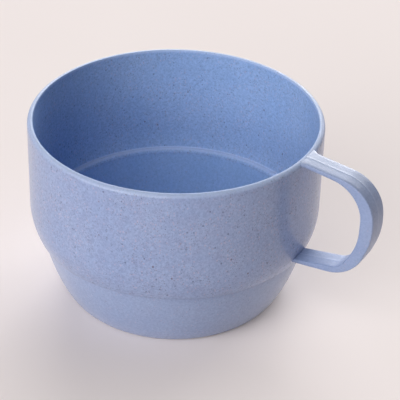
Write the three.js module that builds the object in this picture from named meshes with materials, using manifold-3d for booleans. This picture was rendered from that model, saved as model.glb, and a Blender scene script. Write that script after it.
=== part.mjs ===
// Plastic tea cup with a strap handle: an upper wall, a lower bowl and a handle.
// Millimetres, +Z up. The table is at z = 0 and the handle points along +X.

import * as THREE from 'three';
import { mergeVertices } from 'three/addons/utils/BufferGeometryUtils.js';
import Module from 'manifold-3d';

// Driving dimensions of the body
const cupHeight = 66; // table to the top of the lip
const rimRadius = 50; // outside of the wall under the lip
const wallThickness = 1.9;
const lipOuterRounding = 1.5;
const lipInnerRounding = 0.2;
const wallDraft = THREE.MathUtils.degToRad(0.7); // lean of the straight wall
const wallCornerHeight = 35.2; // where the straight wall starts to round in
const wallCornerRadius = 25;

// Driving dimensions of the step where the wall sits on the bowl
const stepHeight = 24.5; // lower edge of the wall's skirt
const skirtDepth = 1.2; // how far the skirt reaches down over the spigot
const ledgeThickness = 1.5; // inner flange that rests on the spigot
const ledgeRounding = 1.4; // of the flange's inner edge, which shows inside the cup
const seatClearance = 0.3; // between the skirt and the spigot, and between the handle and the wall

// Driving dimensions of the bowl
const neckRadius = 45.7; // outside of the bowl under the skirt
const neckThickness = 1.7;
const neckLean = THREE.MathUtils.degToRad(9); // lean of the bowl's side at the neck
const neckSweep = 9; // length over which that lean holds
const footRadius = 35.4; // outer edge of the foot ring
const footLean = THREE.MathUtils.degToRad(58);
const footSweep = 4.5;
const footWidth = 2.4; // flat face of the foot ring
const footRecess = 1.2; // underside above the table
const recessSlope = 1.0; // run of the foot ring's inner flank
const floorThickness = 2;
const floorRadius = 32.5; // flat of the floor inside
const floorSweep = 5.5; // rounding from the floor up into the side
const sideSweep = 11; // length over which the inner side keeps the neck's lean
const gateRadius = 3; // round moulding gate in the middle of the underside
const gateDepth = 0.4;

// Driving dimensions of the handle's strap
const strapWidth = 8.5;
const strapDraft = 0.09; // how much lower each face is at the strap's edges
const partingWidth = 0.4; // flat of the parting line along the middle
const strapEdge = 0.5; // rounding of the strap's long edges
const rootFillet = 1.3; // rounding between the upper arm's sides and the rim, seen from above

// Driving dimensions of the strap's outer line on its middle plane: shoulder, grip and heel corners
const shoulderReach = 24.9; // rim to the upper corner
const shoulderFall = 3.4; // top of the lip down to the upper corner
const gripReach = 26.5; // rim to the corner in the middle of the grip
const gripShare = 0.49; // height of that corner between the other two
const heelReach = 19.5; // rim to the lower corner
const heelRise = 3.3; // step up to the lower corner
const lowerArmRise = 1.9; // step up to the underside of the lower arm at the neck
const shoulderTurn = 0.6; // share of the grip's upper run that the shoulder's rounding takes up
const gripTurn = 0.38; // share of its shorter run, for the rounding in the middle
const heelTurn = 0.5; // share of its lower run

// Driving dimensions of its inner line, from the corners of the outer one
const upperArmThickness = 1.75; // at the rim
const shoulderInset = 3.35;
const shoulderDrop = 1.5;
const gripInset = 5.65;
const gripDrop = 4;
const heelInset = 4.8;
const heelLift = 2.5;
const lowerArmThickness = 1.4; // at the neck
const innerShoulderTurn = 0.55;
const innerGripTurn = 0.44;
const innerHeelTurn = 0.21;

// Fineness of the round surfaces
const turnSegments = 72;
const curveSegments = 10;
const smallCurveSegments = 3;
const lipSegments = 6;
const handleArcSegments = 12;
const filletSegments = 4;

// Values that follow from the driving dimensions
const seatHeight = stepHeight + skirtDepth;
const ledgeHeight = seatHeight + ledgeThickness;
const spigotInnerRadius = neckRadius - neckThickness;
const floorHeight = footRecess + floorThickness;
const lipHeight = cupHeight - lipOuterRounding;

// Centre of the wall's lower corner, square to the leaning wall
const cornerTopRadius = rimRadius - (lipHeight - wallCornerHeight) * Math.tan(wallDraft);
const cornerCentre = new THREE.Vector2(
  cornerTopRadius - wallCornerRadius * Math.cos(wallDraft),
  wallCornerHeight + wallCornerRadius * Math.sin(wallDraft)
);

const wasm = await Module();
wasm.setup();

// Angle, seen from the corner's centre, at which an arc of the given radius passes a height
function cornerAngle(radius, height) {
  return Math.asin((height - cornerCentre.y) / radius);
}

// Revolves a profile of (radius, height) points about the cup's upright axis
function revolve(points) {
  const geometry = new THREE.LatheGeometry(points, turnSegments);
  geometry.rotateX(Math.PI / 2);
  return geometry;
}

// Points of a curve between its ends, with the ends left to the neighbours in the profile
function between(curve, segments) {
  return curve.getPoints(segments).slice(1, -1);
}

// Quarter round from one point to another about a corner that it cuts off
function quarterRound(start, corner, end) {
  return new THREE.QuadraticBezierCurve(start, corner, end);
}

function point(radius, height) {
  return new THREE.Vector2(radius, height);
}

// Outside of the wall from the step up to the lip, moved out by an offset
function wallOutside(offset) {
  const radius = wallCornerRadius + offset;
  const arc = new THREE.EllipseCurve(
    cornerCentre.x,
    cornerCentre.y,
    radius,
    radius,
    cornerAngle(radius, stepHeight),
    -wallDraft
  );
  return [...arc.getPoints(curveSegments), point(rimRadius + offset, lipHeight)];
}

// Outer round of the lip on from the straight wall, moved out by an offset
function lipRound(offset) {
  const radius = rimRadius + offset;
  const top = cupHeight + offset;
  const start = point(radius, lipHeight);
  const end = point(rimRadius - lipOuterRounding, top);
  return quarterRound(start, point(radius, top), end).getPoints(lipSegments).slice(1);
}

// Upper wall: straight leaning side, rounded corner, skirt over the spigot and inner ledge
function wallProfile() {
  const outside = wallOutside(0);
  const innerRim = rimRadius - wallThickness;
  const innerTop = point(innerRim + lipInnerRounding, cupHeight);
  const innerLip = point(innerRim, cupHeight - lipInnerRounding);
  const innerCornerRadius = wallCornerRadius - wallThickness;
  const innerCorner = new THREE.EllipseCurve(
    cornerCentre.x,
    cornerCentre.y,
    innerCornerRadius,
    innerCornerRadius,
    -wallDraft,
    cornerAngle(innerCornerRadius, ledgeHeight),
    true
  );
  const ledgeEdge = point(spigotInnerRadius + ledgeRounding, ledgeHeight);
  const ledgeSide = point(spigotInnerRadius, ledgeHeight - ledgeRounding);
  const socketRadius = neckRadius + seatClearance;
  return [
    ...outside,
    ...lipRound(0),
    innerTop,
    ...between(quarterRound(innerTop, point(innerRim, cupHeight), innerLip), smallCurveSegments),
    innerLip,
    ...innerCorner.getPoints(curveSegments),
    ledgeEdge,
    ...between(quarterRound(ledgeEdge, point(spigotInnerRadius, ledgeHeight), ledgeSide), smallCurveSegments),
    ledgeSide,
    point(spigotInnerRadius, seatHeight),
    point(socketRadius, seatHeight),
    point(socketRadius, stepHeight),
    outside[0].clone(),
  ];
}

// Lower bowl: foot ring, flared side, plain spigot, inner side rounding into the flat floor
function bowlProfile() {
  const footEdge = point(footRadius, 0);
  const neck = point(neckRadius, stepHeight);
  const outerSide = new THREE.CubicBezierCurve(
    footEdge,
    point(footRadius + footSweep * Math.sin(footLean), footSweep * Math.cos(footLean)),
    point(neckRadius - neckSweep * Math.sin(neckLean), stepHeight - neckSweep * Math.cos(neckLean)),
    neck
  );
  const spigotTop = point(spigotInnerRadius, seatHeight);
  const floorEdge = point(floorRadius, floorHeight);
  const innerSide = new THREE.CubicBezierCurve(
    spigotTop,
    point(spigotInnerRadius - sideSweep * Math.sin(neckLean), seatHeight - sideSweep * Math.cos(neckLean)),
    point(floorRadius + floorSweep, floorHeight),
    floorEdge
  );
  const ringInner = footRadius - footWidth;
  return [
    point(0, footRecess + gateDepth),
    point(gateRadius, footRecess + gateDepth),
    point(gateRadius, footRecess),
    point(ringInner - recessSlope, footRecess),
    point(ringInner, 0),
    ...outerSide.getPoints(curveSegments),
    point(neckRadius, seatHeight),
    ...innerSide.getPoints(curveSegments),
    point(0, floorHeight),
  ];
}

// Outline with straight runs between its corners, each rounded by an arc that starts a cut's length from it
function roundedRun(corners) {
  const run = [corners[0].at];
  for (let i = 1; i < corners.length - 1; i += 1) {
    const { at, cut } = corners[i];
    const back = corners[i - 1].at.clone().sub(at).normalize();
    const ahead = corners[i + 1].at.clone().sub(at).normalize();
    const halfAngle = Math.acos(back.dot(ahead)) / 2;
    const radius = cut * Math.tan(halfAngle);
    const bisector = back.clone().add(ahead).normalize();
    const centre = at.clone().addScaledVector(bisector, cut / Math.cos(halfAngle));
    const first = at.clone().addScaledVector(back, cut).sub(centre);
    const last = at.clone().addScaledVector(ahead, cut).sub(centre);
    const clockwise = first.cross(last) < 0;
    const arc = new THREE.EllipseCurve(
      centre.x,
      centre.y,
      radius,
      radius,
      first.angle(),
      last.angle(),
      clockwise
    );
    run.push(...arc.getPoints(handleArcSegments));
  }
  run.push(corners.at(-1).at);
  return run;
}

// Side view of the strap: an outer and an inner line, both starting inside the wall, which cuts them off
function strapOutline() {
  const rimFlush = point(rimRadius - wallThickness, cupHeight);
  const rimRoot = point(rimRadius, cupHeight);
  const shoulder = point(rimRadius + shoulderReach, cupHeight - shoulderFall);
  const heel = point(rimRadius + heelReach, stepHeight + heelRise);
  const grip = point(rimRadius + gripReach, THREE.MathUtils.lerp(heel.y, shoulder.y, gripShare));
  const neckRoot = point(neckRadius, stepHeight + lowerArmRise);
  const innerShoulder = shoulder.clone().sub(point(shoulderInset, shoulderDrop));
  const innerGrip = grip.clone().sub(point(gripInset, gripDrop));
  const innerHeel = heel.clone().sub(point(heelInset, -heelLift));
  const innerRimRoot = point(rimRadius, cupHeight - upperArmThickness);
  const innerNeckRoot = point(neckRadius, neckRoot.y + lowerArmThickness);
  const rootShare = -wallThickness / shoulderReach;
  const upperRun = shoulder.distanceTo(grip);
  const lowerRun = grip.distanceTo(heel);
  const innerUpperRun = innerShoulder.distanceTo(innerGrip);
  const innerLowerRun = innerGrip.distanceTo(innerHeel);
  const outerRun = roundedRun([
    { at: rimRoot },
    { at: shoulder, cut: shoulderTurn * upperRun },
    { at: grip, cut: gripTurn * Math.min(upperRun, lowerRun) },
    { at: heel, cut: heelTurn * lowerRun },
    { at: neckRoot },
  ]);
  const innerRun = roundedRun([
    { at: innerNeckRoot },
    { at: innerHeel, cut: innerHeelTurn * innerLowerRun },
    { at: innerGrip, cut: innerGripTurn * Math.min(innerUpperRun, innerLowerRun) },
    { at: innerShoulder, cut: innerShoulderTurn * innerUpperRun },
    { at: innerRimRoot.lerp(innerShoulder, rootShare) },
  ]);
  const outer = [rimFlush, ...outerRun.toSpliced(1, 0, ...filletStations(outerRun[0], outerRun[1]))];
  const inner = innerRun.toSpliced(-1, 0, ...filletStations(innerRun.at(-1), innerRun.at(-2)).reverse());
  return new THREE.Shape([...outer, ...inner]);
}

// Points along the root end of the upper arm, where the fillet to the rim needs them
function filletStations(root, armEnd) {
  const stations = [];
  for (let i = 0; i <= filletSegments; i += 1) {
    const radius = rimRadius + seatClearance + rootFillet * (1 - Math.cos((i * Math.PI) / (2 * filletSegments)));
    stations.push(root.clone().lerp(armEnd, (radius - root.x) / (armEnd.x - root.x)));
  }
  return stations;
}

// Strap extruded to its full width, with both faces drawn in by an inset from a flat middle to the edges
function strapSlab(flatWidth, inset, segments) {
  const geometry = new THREE.ExtrudeGeometry(strapOutline(), {
    depth: flatWidth,
    bevelThickness: (strapWidth - flatWidth) / 2,
    bevelSize: inset,
    bevelOffset: -inset,
    bevelSegments: segments,
  });
  geometry.translate(0, 0, -flatWidth / 2);
  geometry.rotateX(Math.PI / 2);
  flareRoot(geometry);
  return geometry;
}

// Widens the upper arm towards the rim by the fillet on each of its sides
function flareRoot(geometry) {
  const { position } = geometry.attributes;
  const middleHeight = (cupHeight + stepHeight) / 2;
  for (let i = 0; i < position.count; i += 1) {
    const run = Math.max(position.getX(i) - rimRadius - seatClearance, 0);
    if (position.getZ(i) > middleHeight && run < rootFillet) {
      const flare = rootFillet - Math.sqrt(run * (2 * rootFillet - run));
      position.setY(i, position.getY(i) * (1 + (2 * flare) / strapWidth));
    }
  }
}

// Drafted on both faces as a mould leaves it, and rounded along the edges
function strapSolid() {
  const drafted = solidOf(strapSlab(partingWidth, strapDraft, 1));
  const rounded = solidOf(strapSlab(strapWidth - 2 * strapEdge, strapEdge, smallCurveSegments));
  return drafted.intersect(rounded);
}

// Space that the wall fills out to the handle's seats, closed through the axis and over the lip
function wallSpace() {
  const outside = [...wallOutside(seatClearance), ...lipRound(seatClearance)];
  return revolve([point(0, stepHeight), ...outside, point(0, outside.at(-1).y)]);
}

// Solid of a closed geometry, from its merged vertices
function solidOf(geometry) {
  const bare = geometry.clone();
  bare.deleteAttribute('normal');
  bare.deleteAttribute('uv');
  const merged = mergeVertices(bare);
  return new wasm.Manifold(
    new wasm.Mesh({
      numProp: 3,
      vertProperties: new Float32Array(merged.attributes.position.array),
      triVerts: new Uint32Array(merged.index.array),
    })
  );
}

function geometryOf(solid) {
  const mesh = solid.getMesh();
  const geometry = new THREE.BufferGeometry();
  geometry.setAttribute('position', new THREE.BufferAttribute(mesh.vertProperties, mesh.numProp));
  geometry.setIndex(new THREE.BufferAttribute(mesh.triVerts, 1));
  geometry.computeVertexNormals();
  return geometry;
}

function piece(name, geometry, material) {
  const mesh = new THREE.Mesh(geometry, new THREE.MeshStandardMaterial(material));
  mesh.name = name;
  return mesh;
}

const cup = new THREE.Group();
cup.add(piece('cup_wall', revolve(wallProfile()), { color: 0x8f9dc4, roughness: 0.55, metalness: 0 }));
cup.add(piece('base_bowl', revolve(bowlProfile()), { color: 0x8c9bc2, roughness: 0.5, metalness: 0 }));
const strap = strapSolid().subtract(solidOf(wallSpace()));
cup.add(piece('handle', geometryOf(strap), { color: 0x98a9d3, roughness: 0.5, metalness: 0 }));

// The origin is on the table, in the middle of the whole outline seen from above
const extent = new THREE.Box3().setFromObject(cup);
cup.position.x = -(extent.min.x + extent.max.x) / 2;

const group = new THREE.Group();
group.add(cup);

export default group;
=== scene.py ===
"""Looks of a plastic tea cup: turned wall and bowl, strap handle, flecked plastic, pale studio."""

import logging
import math
from dataclasses import dataclass
from enum import Enum
from typing import Mapping, Sequence

import bmesh
import bpy
from mathutils import Euler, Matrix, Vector


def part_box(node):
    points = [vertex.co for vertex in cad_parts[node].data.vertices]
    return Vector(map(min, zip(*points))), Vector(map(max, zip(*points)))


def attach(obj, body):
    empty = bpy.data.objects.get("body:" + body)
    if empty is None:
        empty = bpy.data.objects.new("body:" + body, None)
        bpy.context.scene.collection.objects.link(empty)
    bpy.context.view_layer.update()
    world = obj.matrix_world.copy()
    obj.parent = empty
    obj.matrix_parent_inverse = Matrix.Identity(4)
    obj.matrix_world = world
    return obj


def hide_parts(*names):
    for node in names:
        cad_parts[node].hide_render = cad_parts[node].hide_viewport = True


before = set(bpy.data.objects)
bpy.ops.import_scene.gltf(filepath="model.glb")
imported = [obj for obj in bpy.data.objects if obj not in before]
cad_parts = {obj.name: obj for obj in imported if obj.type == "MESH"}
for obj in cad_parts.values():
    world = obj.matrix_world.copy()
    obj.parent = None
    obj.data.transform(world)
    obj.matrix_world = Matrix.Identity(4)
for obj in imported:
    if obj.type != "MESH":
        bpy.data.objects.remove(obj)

LOG = logging.getLogger("tea_cup")
MM = 0.001
TINY = 1e-6
TURN_STEPS = 192  # segments round the cup's axis
SHARP_ANGLE = math.radians(40)  # least angle between faces that shows as an edge
FACING_SLOPE = 2.5  # how soon a leaning face counts as outward or inward
LAMP_AIM = Vector((0.0, 0.0, 0.03))  # middle of the cup, in metres

Colour = tuple[float, float, float]
Point = tuple[float, float]
Spot = tuple[float, float, float]


def screen(red: int, green: int, blue: int) -> Colour:
    """Linear colour of three screen values from 0 to 255.

    Args:
        red: Red as a screen shows it.
        green: Green as a screen shows it.
        blue: Blue as a screen shows it.

    Returns:
        The colour in linear light.
    """

    def linear(value: int) -> float:
        """Linear light of one screen value."""
        share = value / 255
        return share / 12.92 if share <= 0.04045 else ((share + 0.055) / 1.055) ** 2.4

    return linear(red), linear(green), linear(blue)


class Slot(Enum):
    """Material slots of the record."""

    WALL = "wall_plastic"
    BOWL = "bowl_plastic"
    HANDLE = "handle_plastic"


class Shade:
    """A shader socket that takes part in Python expressions."""

    def __init__(self, sheet: "NodeSheet", socket: bpy.types.NodeSocket) -> None:
        """Wraps a socket of a sheet."""
        self.sheet = sheet
        self.socket = socket

    def _math(self, operation: str, first: object, second: object) -> "Shade":
        """Adds one Math node for two values."""
        return self.sheet.node("ShaderNodeMath", {"operation": operation}, {0: first, 1: second})

    def __add__(self, other: object) -> "Shade":
        """Sum of this value and another."""
        return self._math("ADD", self, other)

    def __radd__(self, other: object) -> "Shade":
        """Sum of another value and this one."""
        return self._math("ADD", other, self)

    def __sub__(self, other: object) -> "Shade":
        """This value less another."""
        return self._math("SUBTRACT", self, other)

    def __rsub__(self, other: object) -> "Shade":
        """Another value less this one."""
        return self._math("SUBTRACT", other, self)

    def __mul__(self, other: object) -> "Shade":
        """Product of this value and another."""
        return self._math("MULTIPLY", self, other)

    def __rmul__(self, other: object) -> "Shade":
        """Product of another value and this one."""
        return self._math("MULTIPLY", other, self)

    def __lt__(self, other: object) -> "Shade":
        """One where this value is under another, and zero elsewhere."""
        return self._math("LESS_THAN", self, other)

    def held(self) -> "Shade":
        """This value held between zero and one."""
        return self.sheet.node("ShaderNodeClamp", {}, {"Value": self})

    def raised(self, low: float) -> "Shade":
        """This value, from zero to one, drawn up to run from a low end to one."""
        return low + (1.0 - low) * self

    def rising(self, start: float, slope: float) -> "Shade":
        """Zero up to a start, then rising with a slope as far as one."""
        return ((self - start) * slope).held()

    def other(self, name: str) -> "Shade":
        """Another output of the same node."""
        return Shade(self.sheet, self.socket.node.outputs[name])


class NodeSheet:
    """The nodes of one material or world, made from Python calls."""

    def __init__(self, tree: bpy.types.NodeTree) -> None:
        """Starts on an emptied node tree."""
        tree.nodes.clear()
        self.tree = tree

    def node(
        self,
        kind: str,
        settings: Mapping[str, object],
        sockets: Mapping[str | int, object],
        output: str | int = 0,
    ) -> Shade:
        """Adds a node.

        Args:
            kind: Blender's type name of the node.
            settings: Its own settings, set before its sockets.
            sockets: Numbers, colours or links for its inputs, by name or index.
            output: Output that the result stands for.

        Returns:
            The chosen output, or the first input of a node that has no outputs.
        """
        made = self.tree.nodes.new(kind)
        for name, value in settings.items():
            setattr(made, name, value)
        for key, value in sockets.items():
            self._feed(made.inputs[key], value)
        return Shade(self, made.outputs[output] if len(made.outputs) else made.inputs[0])

    def mix(self, factor: object, first: object, second: object, blend: str = "MIX") -> Shade:
        """Mixes two colours.

        Args:
            factor: Share of the second colour.
            first: Colour where the factor is zero.
            second: Colour where the factor is one.
            blend: Blender's name of the way of mixing.

        Returns:
            The mixed colour.
        """
        settings = {"data_type": "RGBA", "blend_type": blend}
        return self.node("ShaderNodeMix", settings, {0: factor, 6: first, 7: second}, 2)

    def vector(self, operation: str, output: str | int, *inputs: object) -> Shade:
        """Vector maths on its inputs.

        Args:
            operation: Blender's name of the operation.
            output: Output that holds the result, the first for a vector and "Value" for a number.
            inputs: Links or vectors, in order.

        Returns:
            The result.
        """
        sockets = dict(enumerate(inputs))
        return self.node("ShaderNodeVectorMath", {"operation": operation}, sockets, output)

    def stretched(self, place: Shade, stretch: Spot, shift: Spot = (0.0, 0.0, 0.0)) -> Shade:
        """Coordinates multiplied and moved along each axis.

        Args:
            place: Coordinates to start from.
            stretch: Factors along X, Y and Z.
            shift: Move along X, Y and Z after that.

        Returns:
            The new coordinates.
        """
        return self.vector("MULTIPLY_ADD", 0, place, stretch, shift)

    def noise(
        self, place: Shade, scale: float, detail: float = 2.0, roughness: float = 0.5
    ) -> Shade:
        """Soft noise over the given coordinates.

        Args:
            place: Coordinates.
            scale: Waves per metre.
            detail: Number of finer layers.
            roughness: Strength of the finer layers.

        Returns:
            A value about one half, mostly between 0.3 and 0.7.
        """
        sockets = {"Vector": place, "Scale": scale, "Detail": detail, "Roughness": roughness}
        return self.node("ShaderNodeTexNoise", {"noise_dimensions": "3D"}, sockets)

    def outward(self, axis: float) -> Shade:
        """How far a face looks away from the cup's axis.

        Args:
            axis: Place of the axis along X, in mm.

        Returns:
            One on outward faces, one half on level ones and zero on faces that look at the axis.
        """
        normal = self.node("ShaderNodeNewGeometry", {}, {}, "Normal")
        level = self.stretched(normal.other("Position"), (1.0, 1.0, 0.0), (-axis * MM, 0.0, 0.0))
        spoke = self.vector("NORMALIZE", 0, level)
        facing = self.vector("DOT_PRODUCT", "Value", normal, spoke)
        return (0.5 + facing * FACING_SLOPE).held()

    def along(self, axis: str) -> Shade:
        """Place along X, Y or Z in the part's frame, in mm."""
        place = self.node("ShaderNodeNewGeometry", {}, {}, "Position")
        return self.node("ShaderNodeSeparateXYZ", {}, {0: place}, axis) * (1 / MM)

    def seen_directly(self) -> Shade:
        """One for rays from the camera, a gloss or a clear body, and zero for rays of light."""
        path = self.node("ShaderNodeLightPath", {}, {}, "Is Camera Ray")
        return (path + path.other("Is Glossy Ray") + path.other("Is Transmission Ray")).held()

    def _feed(self, socket: bpy.types.NodeSocket, value: object) -> None:
        """Links a shade to a socket, or sets the socket's own value."""
        if isinstance(value, Shade):
            self.tree.links.new(value.socket, socket)
        elif socket.type == "RGBA" and isinstance(value, tuple):
            socket.default_value = (*value[:3], 1.0)
        else:
            socket.default_value = value


@dataclass(frozen=True)
class Pattern:
    """Soft noise with a scale and a contrast of its own.

    Attributes:
        waves: Waves per metre.
        detail: Number of finer layers.
        roughness: Strength of the finer layers.
        start: Value of the noise up to which the mask is zero.
        slope: How fast the mask rises from there to one.
    """

    waves: float
    detail: float
    roughness: float = 0.5
    start: float = 0.0
    slope: float = 1.0

    def soft(self, sheet: NodeSheet, place: Shade) -> Shade:
        """The noise as it is, about one half."""
        return sheet.noise(place, self.waves, self.detail, self.roughness)

    def mask(self, sheet: NodeSheet, place: Shade) -> Shade:
        """The noise drawn out to run from zero to one."""
        return self.soft(sheet, place).rising(self.start, self.slope)


WHITE = (1.0, 1.0, 1.0)
CLOUD = (0.9, 0.9, 0.95)
DIM = (0.74, 0.75, 0.78)
SOOT = (0.05, 0.06, 0.1)
# Pale tint of the painted highlights on the ledge, the lip and the strap's seam
HIGHLIGHT_PALE = screen(197, 213, 243)
WARM = screen(150, 140, 170)
DARK = screen(62, 68, 100)
BROWN = screen(92, 74, 82)
ROSE = screen(196, 172, 190)

CLOUDS = Pattern(waves=55.0, detail=3.0, roughness=0.6, start=0.35, slope=2.6)
PATCHES = Pattern(waves=280.0, detail=3.0, roughness=0.6, start=0.42, slope=4.0)
MOTTLING = Pattern(waves=1200.0, detail=2.0, roughness=0.7, start=0.34375, slope=3.2)
CROWDS = Pattern(waves=110.0, detail=2.0, start=0.35, slope=3.2)
GRAIN = Pattern(waves=2600.0, detail=2.0, roughness=0.6)
SCUFFS = Pattern(waves=140.0, detail=3.0, roughness=0.55)
SWELLS = Pattern(waves=32.0, detail=1.0)
STREAKS = Pattern(waves=1.0, detail=3.0, roughness=0.6)

# How the patterns, the wear and the painted highlights show, the same in each finish; heights are
# in mm
INNER_PATCHES = 0.3  # share of the warm patches that is left on faces that look at the axis
INNER_FLECKS = 0.75  # share of the flecks that is left there
FEWEST_FLECKS = 0.3  # factor on the flecks between the crowds
MORE_FLECKS = 1.4  # added to it in the middle of a crowd
FLECK_RELIEF = 0.25  # height of a fleck, in heights of the grain
FLECK_STRETCH = (1.0, 1.0, 0.8)  # makes the flecks a little longer upwards
FLECK_SHIFT = (1.0, 0.7, 1.3)  # direction in which a kind of fleck is moved
SMALLEST_FLECK = 0.45  # radius, as a share of the largest
FLECK_EDGE = 3.0  # how sharply a fleck ends
STREAK_STRETCH = (90.0, 1500.0, 90.0)  # waves per metre along each axis
STREAK_SHADE = 0.25  # share of soot in the darkest lines
STREAK_DEPTH = 0.02
SEAM_TOP = 1.3  # over one, so that the painted seam highlight has a flat middle
SEAM_FALL = 14.0  # for each square mm of the distance from the middle
LEDGE_HIGHLIGHT_EDGE = 2.0  # rise of the painted highlight band on the ledge at its ends, for each mm
LEDGE_HIGHLIGHT_SHARE = 0.6  # share of the pale highlight colour in that painted band
LIP_EDGE = 1.2  # rise of the painted highlight and the wear towards the lip, for each mm
LIP_HIGHLIGHT = 0.5  # share of the pale highlight colour painted on the lip
LIP_DULLNESS = 0.8  # share of the skin that is gone there
SKIN_START = 1 / 3  # how far outward a face looks before it has a skin
SKIN_SLOPE = 1.5  # how fast the skin sets in from there
SKIN_ROUGHNESS = 0.22
SCUFF_SPAN = 0.18  # change of roughness from scuffed to polished
SWELL_HEIGHT = 0.05
PLASTIC_IOR = 1.5


@dataclass(frozen=True)
class Fleck:
    """One kind of fibre fleck in the plastic.

    Attributes:
        spacing: Size of the cells that hold one fleck each, in mm.
        radius: Largest radius of a fleck, in mm.
        share: Share of the cells that hold a fleck.
        tint: Colour of the fleck.
        strength: How much of the tint shows through the plastic.
        shift: Move of the cells, which keeps the kinds apart.
    """

    spacing: float
    radius: float
    share: float
    tint: Colour
    strength: float
    shift: float

    def cover(self, sheet: NodeSheet, place: Shade, crowding: Shade) -> Shade:
        """Where flecks of this kind lie.

        Args:
            sheet: Nodes of the material.
            place: Coordinates on the piece.
            crowding: Factor on the share of cells that hold a fleck.

        Returns:
            A mask from 0 to the strength.
        """
        moves = tuple(self.shift * factor for factor in FLECK_SHIFT)
        moved = sheet.stretched(place, FLECK_STRETCH, moves)
        cells = sheet.node(
            "ShaderNodeTexVoronoi",
            {"voronoi_dimensions": "3D", "feature": "F1"},
            {"Vector": moved, "Scale": 1 / (self.spacing * MM), "Randomness": 1.0},
            "Distance",
        )
        luck = sheet.node("ShaderNodeSeparateColor", {}, {"Color": cells.other("Color")}, "Red")
        reach = luck.other("Green").raised(SMALLEST_FLECK) * (self.radius / self.spacing)
        inside = ((reach - cells) * (FLECK_EDGE * self.spacing / self.radius)).held()
        held_here = luck < crowding * self.share
        return inside * held_here * self.strength


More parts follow.
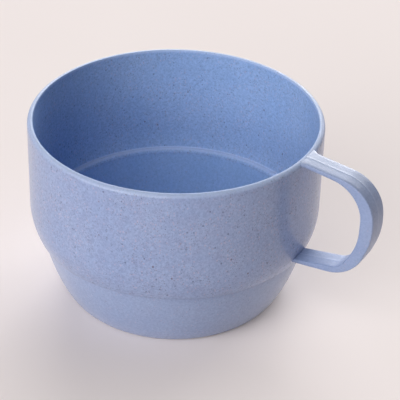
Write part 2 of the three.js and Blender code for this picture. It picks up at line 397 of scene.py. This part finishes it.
@dataclass(frozen=True)
class FleckedPlastic:
    """Satin moulded plastic with fine fibre flecks.

    Attributes:
        slot: Slot of the record that the finish belongs to.
        body: Main colour on the outward faces, greyed as a painted sheen of the surroundings.
        inner: Deeper colour on the faces that look at the cup's axis, a painted shade of bounced
            light.
        clouds: Strength of the paler clouds in it.
        drift: Strength of the smaller, warmer patches.
        flecks: Kinds of fleck, from the finest to the coarsest.
        mottle: Strength of the fine light and dark mottling.
        roughness: Middle roughness of the surface.
        grain: Height of the fine surface grain, in mm.
        gloss: Weight of the smoother skin on the outward faces.
        shine: Reflection of the plastic under that skin.
        streaks: Strength of the lines that run along a strap.
        seam_highlight: Strength of the painted highlight along the moulding seam in a strap's
            middle.
        ledge_highlight: Heights between which the inside is painted pale as a highlight along the
            ledge, in mm.
        lip_highlight_and_wear: Height above which the lip is painted pale as a highlight and its
            skin is worn matte, in mm.
    """

    slot: Slot
    body: Colour
    inner: Colour
    clouds: float
    drift: float
    flecks: tuple[Fleck, ...]
    mottle: float
    roughness: float
    grain: float
    gloss: float = 0.9
    shine: float = 0.05
    streaks: float = 0.0
    seam_highlight: float = 0.0
    ledge_highlight: tuple[float, float] | None = None
    lip_highlight_and_wear: float | None = None

    def _plain(self, sheet: NodeSheet, place: Shade, outward: Shade) -> Shade:
        """Colour of the plastic without its flecks.

        Args:
            sheet: Nodes of the material.
            place: Coordinates on the piece.
            outward: One on outward faces and zero on faces that look at the axis.

        Returns:
            The colour with its clouds, warm patches and mottling.
        """
        # Painted sheen and shade: outward faces get the greyer body colour, inward faces the deeper
        # inner one
        colour = sheet.mix(outward, self.inner, self.body)
        colour = sheet.mix(CLOUDS.mask(sheet, place) * self.clouds, colour, CLOUD)
        drift = PATCHES.mask(sheet, place) * self.drift
        colour = sheet.mix(drift * outward.raised(INNER_PATCHES), colour, WARM)
        dim = sheet.mix(self.mottle, WHITE, DIM)
        mottling = sheet.mix(MOTTLING.mask(sheet, place), dim, WHITE)
        return sheet.mix(1.0, colour, mottling, "MULTIPLY")

    def _marked(self, sheet: NodeSheet, place: Shade, colour: Shade) -> tuple[Shade, Shade | float]:
        """Adds the lines that run along a strap and the painted highlight along its seam.

        Args:
            sheet: Nodes of the material.
            place: Coordinates on the piece.
            colour: Colour without them.

        Returns:
            The new colour, and the height that the lines add, in mm.
        """
        added = 0.0
        if self.streaks:
            lines = STREAKS.soft(sheet, sheet.stretched(place, STREAK_STRETCH))
            marks = (lines - 0.5) * self.streaks
            shaded = sheet.mix(STREAK_SHADE, colour, SOOT)
            colour = sheet.mix((0.5 + marks).held(), shaded, colour)
            added = marks * STREAK_DEPTH
        # Painted highlight: a pale line along the seam's ridge stands in for the light that the
        # ridge catches
        if self.seam_highlight:
            off = sheet.along("Y")
            seam_highlight_mask = (SEAM_TOP - off * off * SEAM_FALL).held() * self.seam_highlight
            colour = sheet.mix(seam_highlight_mask, colour, HIGHLIGHT_PALE)
        return colour, added

    def _highlights_and_wear(self, sheet: NodeSheet, outward: Shade, colour: Shade) -> tuple[Shade, Shade]:
        """Paints highlights on the ledge and the lip, and wears the lip's skin matte.

        Args:
            sheet: Nodes of the material.
            outward: One on outward faces and zero on faces that look at the axis.
            colour: Colour before the wear.

        Returns:
            The new colour, and the weight of the smoother skin.
        """
        skin = outward.rising(SKIN_START, SKIN_SLOPE) * self.gloss
        height = sheet.along("Z")
        # Painted highlight: a pale band along the inner ledge stands in for the light that its
        # rounding catches
        if self.ledge_highlight:
            low, high = self.ledge_highlight
            ledge_highlight_band = height.rising(low, LEDGE_HIGHLIGHT_EDGE) * ((high - height) * LEDGE_HIGHLIGHT_EDGE).held()
            inward = (2.0 - 2.0 * outward).held()  # one on level faces too
            colour = sheet.mix(ledge_highlight_band * inward * LEDGE_HIGHLIGHT_SHARE, colour, HIGHLIGHT_PALE)
        # Painted highlight on the lip: paler colour where light glances over it; the duller skin
        # there is wear
        if self.lip_highlight_and_wear:
            lip = height.rising(self.lip_highlight_and_wear, LIP_EDGE)
            colour = sheet.mix(lip * LIP_HIGHLIGHT, colour, HIGHLIGHT_PALE)
            skin = skin * (1.0 - LIP_DULLNESS * lip)
        return colour, skin

    def make(self, axis: float) -> bpy.types.Material:
        """Builds the material.

        Args:
            axis: Place of the cup's axis along X, in mm.

        Returns:
            The new material.
        """
        material = bpy.data.materials.new(self.slot.value)
        material.use_nodes = True
        sheet = NodeSheet(material.node_tree)
        place = sheet.node("ShaderNodeTexCoord", {}, {}, "Object")
        outward = sheet.outward(axis)
        colour = self._plain(sheet, place, outward)
        relief = GRAIN.soft(sheet, place) * self.grain
        crowding = FEWEST_FLECKS + MORE_FLECKS * CROWDS.mask(sheet, place)
        for fleck in self.flecks:
            cover = fleck.cover(sheet, place, crowding) * outward.raised(INNER_FLECKS)
            colour = sheet.mix(cover, colour, fleck.tint)
            relief = relief + cover * (FLECK_RELIEF * self.grain)
        colour, added = self._marked(sheet, place, colour)
        colour, skin = self._highlights_and_wear(sheet, outward, colour)
        height = (relief + added + SWELLS.soft(sheet, place) * SWELL_HEIGHT) * MM
        bump = {"Strength": 1.0, "Distance": 1.0, "Height": height}
        sockets = {
            "Base Color": colour,
            "Roughness": self.roughness + (SCUFFS.soft(sheet, place) - 0.5) * SCUFF_SPAN,
            "IOR": PLASTIC_IOR,
            "Specular IOR Level": self.shine,
            "Coat Weight": skin,
            "Coat Roughness": SKIN_ROUGHNESS,
            "Normal": sheet.node("ShaderNodeBump", {}, bump),
        }
        shader = sheet.node("ShaderNodeBsdfPrincipled", {}, sockets)
        sheet.node("ShaderNodeOutputMaterial", {}, {"Surface": shader})
        return material


@dataclass(frozen=True)
class FloorFinish:
    """Pale paper on the studio table.

    Attributes:
        near: Colour of the paper.
        cloud: Colour of the faint clouds in it.
        waves: Waves of the clouds per metre.
        roughness: Roughness of the paper.
        glow: Colour of the even background that the paper fades into.
        middle: Place from which the fading is measured, in metres.
        clear: Distance from the middle within which the paper shows whole, in metres.
        faded: Distance at which the fading is complete, in metres.
        veil: Share of the background from there on.
    """

    near: Colour = screen(240, 230, 227)
    cloud: Colour = screen(236, 225, 222)
    waves: float = 14.0
    roughness: float = 0.9
    glow: Colour = screen(238, 229, 227)
    middle: Spot = (-0.03, -0.01, 0.0)
    clear: float = 0.03
    faded: float = 0.1
    veil: float = 0.5

    def make(self) -> bpy.types.Material:
        """Builds the material.

        Returns:
            The new material.
        """
        material = bpy.data.materials.new("table_paper")
        material.use_nodes = True
        sheet = NodeSheet(material.node_tree)
        place = sheet.node("ShaderNodeTexCoord", {}, {}, "Object")
        colour = sheet.mix(sheet.noise(place, self.waves), self.near, self.cloud)
        sockets = {"Base Color": colour, "Roughness": self.roughness}
        paper = sheet.node("ShaderNodeBsdfPrincipled", {}, sockets)
        glow = sheet.node("ShaderNodeEmission", {}, {"Color": self.glow, "Strength": 1.0})
        reach = sheet.vector("DISTANCE", "Value", place, self.middle)
        fading = sheet.node(
            "ShaderNodeMapRange",
            {"interpolation_type": "SMOOTHSTEP"},
            {"Value": reach, "From Min": self.clear, "From Max": self.faded, "To Max": self.veil},
        )
        share = sheet.seen_directly() * fading
        shader = sheet.node("ShaderNodeMixShader", {}, {0: share, 1: paper, 2: glow})
        sheet.node("ShaderNodeOutputMaterial", {}, {"Surface": shader})
        return material


def arc(centre: Point, radius: float, start: float, end: float, steps: int) -> list[Point]:
    """Points of a circular arc.

    Args:
        centre: Centre of the arc.
        radius: Its radius.
        start: Angle of the first point, in radians.
        end: Angle of the last point, in radians.
        steps: Number of chords.

    Returns:
        The points, ends included.
    """
    angles = [start + (end - start) * i / steps for i in range(steps + 1)]
    return [(centre[0] + radius * math.cos(a), centre[1] + radius * math.sin(a)) for a in angles]


def sweep(start: Point, first: Point, second: Point, end: Point, steps: int) -> list[Point]:
    """Points of a cubic curve.

    Args:
        start: First point.
        first: Handle of the first point.
        second: Handle of the last point.
        end: Last point.
        steps: Number of chords.

    Returns:
        The points, ends included.
    """
    corners = (start, first, second, end)
    points = []
    for i in range(steps + 1):
        t = i / steps
        shares = ((1 - t) ** 3, 3 * t * (1 - t) ** 2, 3 * t * t * (1 - t), t**3)
        radius = sum(share * corner[0] for share, corner in zip(shares, corners))
        height = sum(share * corner[1] for share, corner in zip(shares, corners))
        points.append((radius, height))
    return points


def show(name: str, mesh: bpy.types.Mesh) -> bpy.types.Object:
    """Puts a mesh into the scene with smooth shading.

    Args:
        name: Name of the piece.
        mesh: Its finished mesh.

    Returns:
        The new object.
    """
    mesh.shade_smooth()
    mesh.set_sharp_from_angle(angle=SHARP_ANGLE)
    piece = bpy.data.objects.new(name, mesh)
    bpy.context.scene.collection.objects.link(piece)
    return piece


def finished(name: str, shape: bmesh.types.BMesh) -> bpy.types.Object:
    """Turns a closed shape into a piece, with its faces looking out.

    Args:
        name: Name of the piece.
        shape: Its shape, which is freed.

    Returns:
        The new object.
    """
    bmesh.ops.recalc_face_normals(shape, faces=shape.faces)
    mesh = bpy.data.meshes.new(name)
    shape.to_mesh(mesh)
    shape.free()
    return show(name, mesh)


def turned(name: str, profile: Sequence[Point], axis: float) -> bpy.types.Object:
    """Turns a closed profile about the cup's upright axis.

    Args:
        name: Name of the piece.
        profile: Radius and height of its points, in mm; a point on the axis becomes a pole.
        axis: Place of the axis along X, in mm.

    Returns:
        The new object.
    """
    shape = bmesh.new()
    rings = []
    for radius, height in profile:
        if radius < TINY:
            rings.append([shape.verts.new((axis * MM, 0.0, height * MM))])
            continue
        ring = []
        for i in range(TURN_STEPS):
            angle = 2 * math.pi * i / TURN_STEPS
            x, y = axis + radius * math.cos(angle), radius * math.sin(angle)
            ring.append(shape.verts.new((x * MM, y * MM, height * MM)))
        rings.append(ring)
    pairs = list(zip(rings, rings[1:]))
    if len(rings[0]) > 1:
        pairs.append((rings[-1], rings[0]))
    for lower, upper in pairs:
        for i in range(TURN_STEPS):
            j = (i + 1) % TURN_STEPS
            below = [lower[i % len(lower)], lower[j % len(lower)]]
            above = [upper[j % len(upper)], upper[i % len(upper)]]
            shape.faces.new(list(dict.fromkeys(below + above)))
    return finished(name, shape)


def dress(piece: bpy.types.Object, node: str, finish: FleckedPlastic, axis: float) -> None:
    """Gives a piece its finish and its place in the frame.

    Args:
        piece: The finished piece.
        node: Part of the frame that it stands for.
        finish: Its plastic.
        axis: Place of the cup's axis along X, in mm.
    """
    piece.data.materials.append(finish.make(axis))
    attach(piece, "root")
    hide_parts(node)
    LOG.info("%s: %d faces, %s", piece.name, len(piece.data.polygons), finish.slot.value)


@dataclass
class CupWall:
    """Upper wall of the cup, with its lip, its rounded lower corner, its skirt and its inner ledge.

    Attributes are in mm and degrees. Steps are chords of an arc, and the skirt's chords are shares
    of its rounding, inwards and up.
    """

    axis: float
    height: float = 66.0
    rim_radius: float = 50.0
    thickness: float = 1.9
    lip_outer: float = 1.5
    lip_inner: float = 0.2
    draft: float = 0.7
    corner_height: float = 35.2
    corner_radius: float = 25.0
    step_height: float = 24.5
    skirt_depth: float = 1.2
    skirt_rounding: float = 0.25
    skirt_chords: tuple[Point, ...] = ((1.3, 0.0), (0.45, 0.3))
    ledge_thickness: float = 1.5
    ledge_rounding: float = 1.4
    ledge_inner: float = 44.0
    socket_radius: float = 46.0
    outside_steps: int = 24
    inside_steps: int = 22
    round_steps: int = 10
    lip_inner_steps: int = 6

    def profile(self) -> list[Point]:
        """Closed outline of the wall, up the outside, over the lip, down the inside to the skirt.

        Returns:
            Radius and height of its points.
        """
        lean = math.radians(self.draft)
        lip_height = self.height - self.lip_outer
        top_radius = self.rim_radius - (lip_height - self.corner_height) * math.tan(lean)
        centre = (
            top_radius - self.corner_radius * math.cos(lean),
            self.corner_height + self.corner_radius * math.sin(lean),
        )
        inner_radius = self.corner_radius - self.thickness
        ledge_height = self.step_height + self.skirt_depth + self.ledge_thickness
        low = math.asin((self.step_height + self.skirt_rounding - centre[1]) / self.corner_radius)
        ledge_angle = math.asin((ledge_height - centre[1]) / inner_radius)
        outside = arc(centre, self.corner_radius, low, -lean, self.outside_steps)
        outer_lip = (self.rim_radius - self.lip_outer, lip_height)
        inner_rim = self.rim_radius - self.thickness
        inner_lip = (inner_rim + self.lip_inner, self.height - self.lip_inner)
        lip = arc(outer_lip, self.lip_outer, 0.0, math.pi / 2, self.round_steps)
        lip += arc(inner_lip, self.lip_inner, math.pi / 2, math.pi, self.lip_inner_steps)
        inside = arc(centre, inner_radius, -lean, ledge_angle, self.inside_steps)
        rounding = self.ledge_rounding
        ledge_centre = (self.ledge_inner + rounding, ledge_height - rounding)
        ledge = arc(ledge_centre, rounding, math.pi / 2, math.pi, self.round_steps)
        seat = ledge_height - self.ledge_thickness
        skirt = [
            (
                outside[0][0] - self.skirt_rounding * inwards,
                self.step_height + self.skirt_rounding * up,
            )
            for inwards, up in self.skirt_chords
        ]
        return [
            *outside,
            *lip,
            *inside,
            *ledge,
            (self.ledge_inner, seat),
            (self.socket_radius, seat),
            (self.socket_radius, self.step_height),
            *skirt,
        ]

    def build(self, finish: FleckedPlastic) -> bpy.types.Object:
        """Builds and dresses the wall.

        Args:
            finish: Its plastic.

        Returns:
            The finished piece.
        """
        piece = turned("upper_wall", self.profile(), self.axis)
        dress(piece, "cup_wall", finish, self.axis)
        return piece


@dataclass
class BaseBowl:
    """Lower bowl with its spigot, foot ring, recessed underside and floor.

    Attributes are in mm and degrees. Steps are chords of a curve, and the ring's chord is a share
    of the foot's rounding, along and up.
    """

    axis: float
    step_height: float = 24.5
    seat_height: float = 25.7
    neck_radius: float = 45.7
    neck_thickness: float = 1.7
    neck_lean: float = 9.0
    neck_sweep: float = 9.0
    foot_radius: float = 35.4
    foot_lean: float = 58.0
    foot_sweep: float = 4.5
    foot_width: float = 2.4
    foot_recess: float = 1.2
    foot_rounding: float = 0.3
    recess_slope: float = 1.0
    floor_thickness: float = 2.0
    floor_radius: float = 32.5
    floor_sweep: float = 5.5
    side_sweep: float = 11.0
    gate_radius: float = 3.0
    gate_depth: float = 0.4
    gate_rounding: float = 0.15
    ring_chord: Point = (0.6, 0.7)
    side_steps: int = 30

    def profile(self) -> list[Point]:
        """Outline of the bowl, from the middle of the underside up and over to the floor.

        Returns:
            Radius and height of its points.
        """
        lean, flare = math.radians(self.neck_lean), math.radians(self.foot_lean)
        reach, rise = self.foot_sweep * math.sin(flare), self.foot_sweep * math.cos(flare)
        pull, drop = self.neck_sweep * math.sin(lean), self.neck_sweep * math.cos(lean)
        outer = sweep(
            (self.foot_radius, 0.0),
            (self.foot_radius + reach, rise),
            (self.neck_radius - pull, self.step_height - drop),
            (self.neck_radius, self.step_height),
            self.side_steps,
        )
        spigot = self.neck_radius - self.neck_thickness
        floor = self.foot_recess + self.floor_thickness
        pull, drop = self.side_sweep * math.sin(lean), self.side_sweep * math.cos(lean)
        inner = sweep(
            (spigot, self.seat_height),
            (spigot - pull, self.seat_height - drop),
            (self.floor_radius + self.floor_sweep, floor),
            (self.floor_radius, floor),
            self.side_steps,
        )
        gate_top = self.foot_recess + self.gate_depth
        flank_foot = self.foot_radius - self.foot_width
        flank_top = flank_foot - self.recess_slope
        edge = self.foot_rounding
        along, up = edge * self.ring_chord[0], edge * self.ring_chord[1]
        return [
            (0.0, gate_top),
            (self.gate_radius - self.gate_rounding, gate_top),
            (self.gate_radius, gate_top - self.gate_rounding),
            (self.gate_radius, self.foot_recess + self.gate_rounding),
            (self.gate_radius + self.gate_rounding, self.foot_recess),
            (flank_top - edge, self.foot_recess),
            (flank_top + along, self.foot_recess - up),
            (flank_foot - along, up),
            (flank_foot + edge, 0.0),
            (self.foot_radius - edge, 0.0),
            *outer[1:],
            (self.neck_radius, self.seat_height),
            *inner,
            (self.floor_radius / 2, floor),
            (0.0, floor),
        ]

    def build(self, finish: FleckedPlastic) -> bpy.types.Object:
        """Builds and dresses the bowl.

        Args:
            finish: Its plastic.

        Returns:
            The finished piece.
        """
        piece = turned("lower_bowl", self.profile(), self.axis)
        dress(piece, "base_bowl", finish, self.axis)
        return piece


@dataclass(frozen=True)
class Corner:
    """A corner of the strap's outline.

    Attributes:
        at: Its distance from the cup's axis and its height, in mm.
        cut: Run that its rounding takes up on each side, in mm.
    """

    at: Point
    cut: float = 0.0


@dataclass
class StrapHandle:
    """Handle: one flat strap from the lip round to the lower corner of the wall.

    Attributes are in mm. The face's shares are places between its middle and its edge. Stations are
    rings along the strap, and steps are chords of a rounding.
    """

    axis: float
    width: float = 8.5
    draft: float = 0.09
    edge: float = 0.45
    bead_width: float = 0.45
    bead_height: float = 0.035
    bead_shoulder: float = 0.02
    face_shares: tuple[float, ...] = (0.75, 0.5, 0.25)
    near_fillet: float = 0.6
    far_fillet: float = 1.3
    fillet_above: float = 50.0
    rim_radius: float = 50.0
    outer: tuple[Corner, ...] = (
        Corner((49.0, 65.95)),
        Corner((50.8, 65.86), 0.7),
        Corner((74.9, 62.6), 10.68),
        Corner((76.48, 44.85), 6.7),
        Corner((69.5, 27.8), 9.16),
        Corner((46.9, 26.5)),
    )
    inner: tuple[Corner, ...] = (
        Corner((49.0, 64.39)),
        Corner((71.55, 61.1), 11.16),
        Corner((70.85, 40.85), 5.44),
        Corner((64.7, 30.3), 2.6),
        Corner((46.9, 27.95)),
    )
    stations: int = 150
    corner_steps: int = 28
    edge_steps: int = 4

    def _rounded(self, corners: Sequence[Corner]) -> list[Point]:
        """Line through the corners with each inner one rounded.

        Args:
            corners: Corners from the rim's root to the neck's root.

        Returns:
            Points of the line.
        """
        line = [corners[0].at]
        for before, here, after in zip(corners, corners[1:], corners[2:]):
            spot = Vector(here.at)
            back = (Vector(before.at) - spot).normalized()
            ahead = (Vector(after.at) - spot).normalized()
            half = back.angle(ahead) / 2
            radius = here.cut * math.tan(half)
            centre = spot + (back + ahead).normalized() * (here.cut / math.cos(half))
            first = spot + back * here.cut - centre
            last = spot + ahead * here.cut - centre
            start = math.atan2(first.y, first.x)
            turn = math.remainder(math.atan2(last.y, last.x) - start, 2 * math.pi)
            line += arc((centre.x, centre.y), radius, start, start + turn, self.corner_steps)
        line.append(corners[-1].at)
        return line

    def _spread(self, line: Sequence[Point]) -> list[Point]:
        """Evenly spaced points along a line.

        Args:
            line: Points of the line.

        Returns:
            One point for each station.
        """
        runs = [0.0]
        for a, b in zip(line, line[1:]):
            runs.append(runs[-1] + math.dist(a, b))
        spread, k = [], 0
        for i in range(self.stations + 1):
            want = runs[-1] * i / self.stations
            while k < len(runs) - 2 and runs[k + 1] < want:
                k += 1
            share = (want - runs[k]) / max(runs[k + 1] - runs[k], TINY)
            a, b = line[k], line[k + 1]
            spread.append((a[0] + (b[0] - a[0]) * share, a[1] + (b[1] - a[1]) * share))
        return spread

    @staticmethod
    def _normals(line: Sequence[Point], side: float) -> list[Point]:
        """Directions square to a line.

        Args:
            line: Points of the line.
            side: One for the left of its run, and minus one for the right.

        Returns:
            One direction for each point.
        """
        found = []
        for i in range(len(line)):
            a, b = line[max(i - 1, 0)], line[min(i + 1, len(line) - 1)]
            run = math.dist(a, b)
            found.append((-side * (b[1] - a[1]) / run, side * (b[0] - a[0]) / run))
        return found

    def _flare(self, reach: float, height: float, fillet: float) -> float:
        """How much one side of the strap widens towards the rim.

        Args:
            reach: Distance from the cup's axis.
            height: Height above the table.
            fillet: Radius of the fillet on that side.

        Returns:
            The extra half width.
        """
        run = max(reach - self.rim_radius, 0.0)
        if height < self.fillet_above or run >= fillet:
            return 0.0
        return fillet - math.sqrt(run * (2 * fillet - run))

    def _face(self, side: float) -> list[Point]:
        """Cross line of one face, from one rounded edge to the other.

        Args:
            side: One to run from near to far, and minus one to run back.

        Returns:
            Share of the half width, and depth below the face's middle line in mm.
        """
        half = self.width / 2
        bead = self.bead_width / 2
        flat = half - self.edge
        points = []
        for i in range(self.edge_steps + 1):
            angle = math.pi / 2 * i / self.edge_steps
            spot = flat + self.edge * math.cos(angle)
            points.append((-spot, self.draft + self.edge * (1 - math.sin(angle))))
        fall = self.draft - self.bead_height
        for share in self.face_shares:
            points.append((-flat * share, self.bead_height + fall * share))
        points += [(-bead, self.bead_height), (-bead / 2, self.bead_shoulder), (0.0, 0.0)]
        points += [(-spot, depth) for spot, depth in reversed(points[:-1])]
        return [(side * spot / half, depth) for spot, depth in points]

    def build(self, finish: FleckedPlastic) -> bpy.types.Object:
        """Builds and dresses the handle.

        Args:
            finish: Its plastic.

        Returns:
            The finished piece.
        """
        outer = self._spread(self._rounded(self.outer))
        inner = self._spread(self._rounded(self.inner))
        outer_out = self._normals(outer, 1.0)
        inner_out = self._normals(inner, -1.0)
        shape = bmesh.new()
        rings = []
        for over, over_out, under, under_out in zip(outer, outer_out, inner, inner_out):
            ring = []
            for base, out, side in ((over, over_out, 1.0), (under, under_out, -1.0)):
                for share, depth in self._face(side):
                    reach, height = base[0] - out[0] * depth, base[1] - out[1] * depth
                    fillet = self.near_fillet if share < 0 else self.far_fillet
                    half = self.width / 2 + self._flare(reach, height, fillet)
                    spot = (self.axis + reach, share * half, height)
                    ring.append(shape.verts.new([value * MM for value in spot]))
            rings.append(ring)
        count = len(rings[0])
        for here, after in zip(rings, rings[1:]):
            for k in range(count):
                n = (k + 1) % count
                shape.faces.new([here[k], here[n], after[n], after[k]])
        shape.faces.new(rings[0])
        shape.faces.new(reversed(rings[-1]))
        piece = finished("strap_handle", shape)
        dress(piece, "handle", finish, self.axis)
        return piece


@dataclass(frozen=True)
class SoftLamp:
    """A soft box.

    Attributes:
        name: Name of the lamp.
        place: Where it hangs, in metres.
        size: Side of the square, in metres.
        level: Brightness that it alone gives a white face at the cup that looks at it.
    """

    name: str
    place: Spot
    size: float
    level: float

    def hang(self) -> bpy.types.Object:
        """Hangs the lamp so that it faces the cup.

        Returns:
            The lamp's object.
        """
        data = bpy.data.lights.new(self.name, "AREA")
        data.shape = "SQUARE"
        data.size = self.size
        aim = LAMP_AIM - Vector(self.place)
        data.energy = self.level * math.pi**2 * aim.length_squared
        lamp = bpy.data.objects.new(self.name, data)
        lamp.location = self.place
        lamp.rotation_euler = aim.to_track_quat("-Z", "Y").to_euler()
        bpy.context.scene.collection.objects.link(lamp)
        return lamp


@dataclass
class Studio:
    """Pale table, soft lamps, plain surroundings and the camera.

    Attributes:
        table_radius: Radius of the table, in metres.
        table_steps: Number of its sides.
        surround: Colour of the surroundings.
        surround_level: Strength of the light that they give.
        camera_place: Where the camera stands, in metres.
        camera_turn: How it is turned about X, Y and Z, in degrees.
        lens: Its focal length, in mm.
        sensor: Width of its sensor, in mm.
        clip: Nearest and farthest distance that it sees, in metres.
        lamps: The soft boxes.
    """

    table_radius: float = 4.0
    table_steps: int = 96
    surround: Colour = screen(238, 233, 231)
    surround_level: float = 0.02
    camera_place: Spot = (0.275071, -0.506523, 0.398661)
    camera_turn: Spot = (57.9177, -1.2491, 29.563)
    lens: float = 180.0
    sensor: float = 36.0
    clip: tuple[float, float] = (0.01, 20.0)
    lamps: tuple[SoftLamp, ...] = (
        SoftLamp("front_box", (-0.015, -2.293, 1.636), 2.4, 0.76),
        SoftLamp("front_left_box", (-1.153, -2.431, 0.802), 1.6, 0.34),
        SoftLamp("back_box", (-1.300, 2.286, 0.988), 1.6, 0.85),
        SoftLamp("back_right_box", (0.017, 2.537, 1.213), 2.0, 0.56),
    )

    def build_table(self) -> bpy.types.Object:
        """Lays the pale table under the cup.

        Returns:
            The table's object.
        """
        shape = bmesh.new()
        bmesh.ops.create_circle(
            shape, cap_ends=True, radius=self.table_radius, segments=self.table_steps
        )
        mesh = bpy.data.meshes.new("table")
        shape.to_mesh(mesh)
        shape.free()
        table = show("table", mesh)
        table.data.materials.append(FloorFinish().make())
        return table

    def build_surround(self) -> None:
        """Fills the surroundings with plain pale light."""
        world = bpy.data.worlds.new("plain_room")
        world.use_nodes = True
        sheet = NodeSheet(world.node_tree)
        level = self.surround_level + sheet.seen_directly() * (1.0 - self.surround_level)
        light = sheet.node("ShaderNodeBackground", {}, {"Color": self.surround, "Strength": level})
        sheet.node("ShaderNodeOutputWorld", {}, {"Surface": light})
        bpy.context.scene.world = world

    def build_camera(self) -> bpy.types.Object:
        """Places the camera at the photograph's angle.

        Returns:
            The camera's object.
        """
        data = bpy.data.cameras.new("photo_view")
        data.lens = self.lens
        data.sensor_width = self.sensor
        data.clip_start, data.clip_end = self.clip
        camera = bpy.data.objects.new("photo_view", data)
        camera.location = self.camera_place
        camera.rotation_euler = Euler([math.radians(angle) for angle in self.camera_turn], "XYZ")
        bpy.context.scene.collection.objects.link(camera)
        bpy.context.scene.camera = camera
        return camera

    def build(self) -> None:
        """Builds the whole studio."""
        bpy.context.scene.view_settings.view_transform = "Standard"
        self.build_table()
        self.build_surround()
        for lamp in self.lamps:
            lamp.hang()
        self.build_camera()
        LOG.info("studio: %d lamps and a pale table", len(self.lamps))


# The numbers of a fleck are its spacing, radius and share, then its tint, strength and shift
WALL_PLASTIC = FleckedPlastic(
    slot=Slot.WALL,
    body=screen(149, 166, 205),
    inner=screen(151, 180, 224),
    clouds=0.07,
    drift=0.12,
    flecks=(
        Fleck(0.55, 0.25, 0.75, DARK, 0.26, 0.0),
        Fleck(0.95, 0.4, 0.5, ROSE, 0.3, 0.31),
        Fleck(0.85, 0.28, 0.5, BROWN, 0.4, 0.57),
        Fleck(1.5, 0.36, 0.5, DARK, 0.62, 0.77),
        Fleck(3.0, 0.42, 0.35, BROWN, 0.7, 0.91),
    ),
    mottle=0.85,
    roughness=0.42,
    grain=0.01,
    ledge_highlight=(26.65, 27.75),
    lip_highlight_and_wear=64.8,
)
BOWL_PLASTIC = FleckedPlastic(
    slot=Slot.BOWL,
    body=screen(150, 167, 204),
    inner=screen(149, 181, 226),
    clouds=0.06,
    drift=0.07,
    flecks=(
        Fleck(0.5, 0.2, 0.7, DARK, 0.16, 0.11),
        Fleck(0.9, 0.3, 0.35, ROSE, 0.28, 0.37),
        Fleck(1.3, 0.3, 0.3, DARK, 0.3, 0.53),
        Fleck(4.0, 0.36, 0.3, BROWN, 0.55, 0.97),
    ),
    mottle=0.6,
    roughness=0.42,
    grain=0.006,
)
HANDLE_PLASTIC = FleckedPlastic(
    slot=Slot.HANDLE,
    body=screen(148, 165, 203),
    inner=screen(148, 165, 203),
    clouds=0.07,
    drift=0.04,
    flecks=(
        Fleck(0.5, 0.2, 0.6, DARK, 0.16, 0.17),
        Fleck(1.0, 0.3, 0.3, ROSE, 0.3, 0.41),
        Fleck(3.0, 0.34, 0.3, BROWN, 0.5, 0.83),
    ),
    mottle=0.5,
    roughness=0.46,
    grain=0.005,
    gloss=0.4,
    shine=0.24,
    streaks=0.6,
    seam_highlight=0.13,
)


def main() -> None:
    """Builds the cup's pieces in order, then the studio."""
    logging.basicConfig(level=logging.INFO, format="%(name)s: %(message)s")
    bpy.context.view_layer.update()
    wall_low, wall_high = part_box("cup_wall")
    axis = (wall_low.x + wall_high.x) / 2 / MM
    CupWall(axis).build(WALL_PLASTIC)
    BaseBowl(axis).build(BOWL_PLASTIC)
    StrapHandle(axis).build(HANDLE_PLASTIC)
    Studio().build()
    bpy.context.view_layer.update()


if __name__ == "__main__":
    main()
